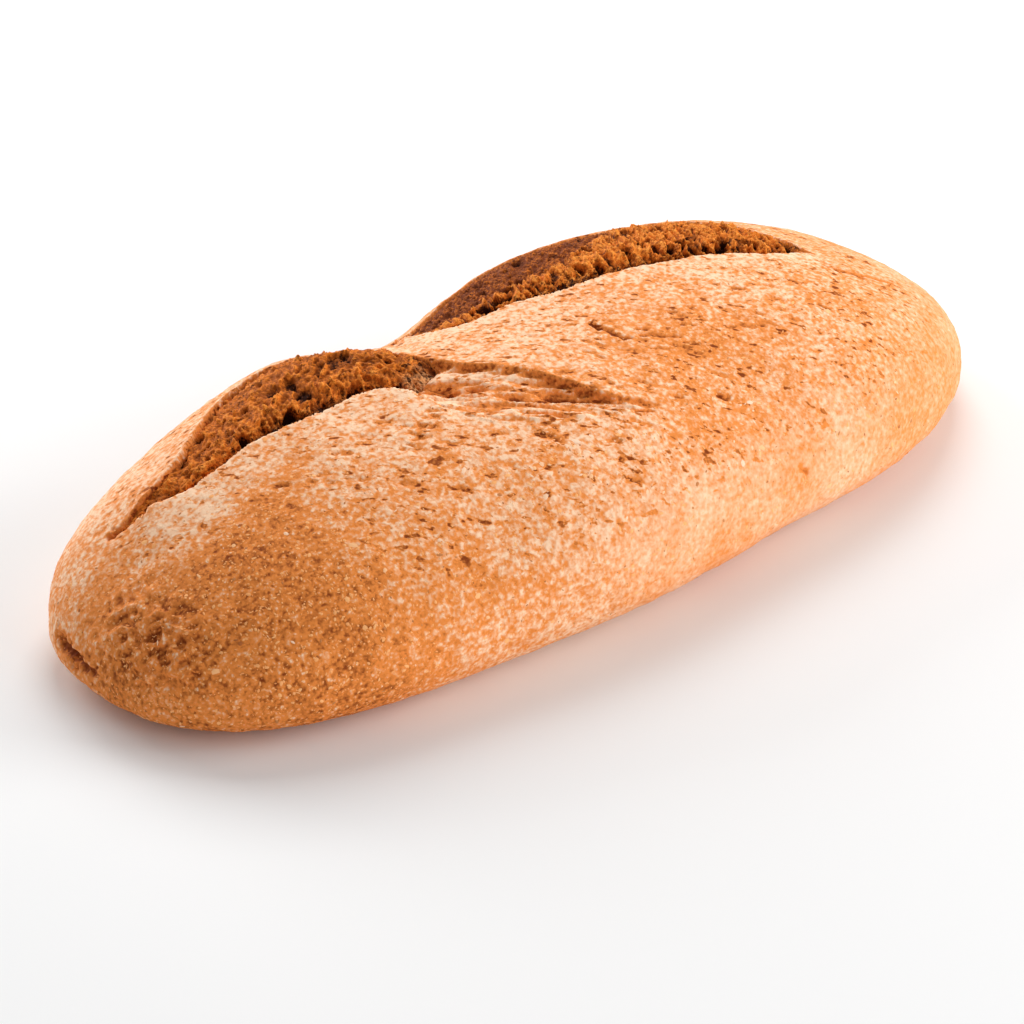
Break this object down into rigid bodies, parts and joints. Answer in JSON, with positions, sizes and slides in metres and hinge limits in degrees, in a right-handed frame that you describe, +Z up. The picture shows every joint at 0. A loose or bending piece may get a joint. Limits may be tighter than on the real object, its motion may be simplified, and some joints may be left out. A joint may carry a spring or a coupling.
{
  "type": "wholemeal batard",
  "caption": "Whole wholemeal batard: a long oval loaf with blunt round ends and a flat base, its crust torn open along slanting slashes.",
  "frame": {"origin": "on the table, under the middle of the loaf's bounding box", "axes": "+X along the loaf, towards the end that is far from the first slash's tip; +Z up; -Y the side that the slashes' raised lips face"},
  "size_m": [0.2806, 0.1234, 0.0548],
  "materials": {
    "crust": "matt baked crust, peach-brown and lightly floured, with darker torn crumb in the slashes"
  },
  "bodies": {
    "root": {"loaf": "crust"}
  },
  "joints": []
}
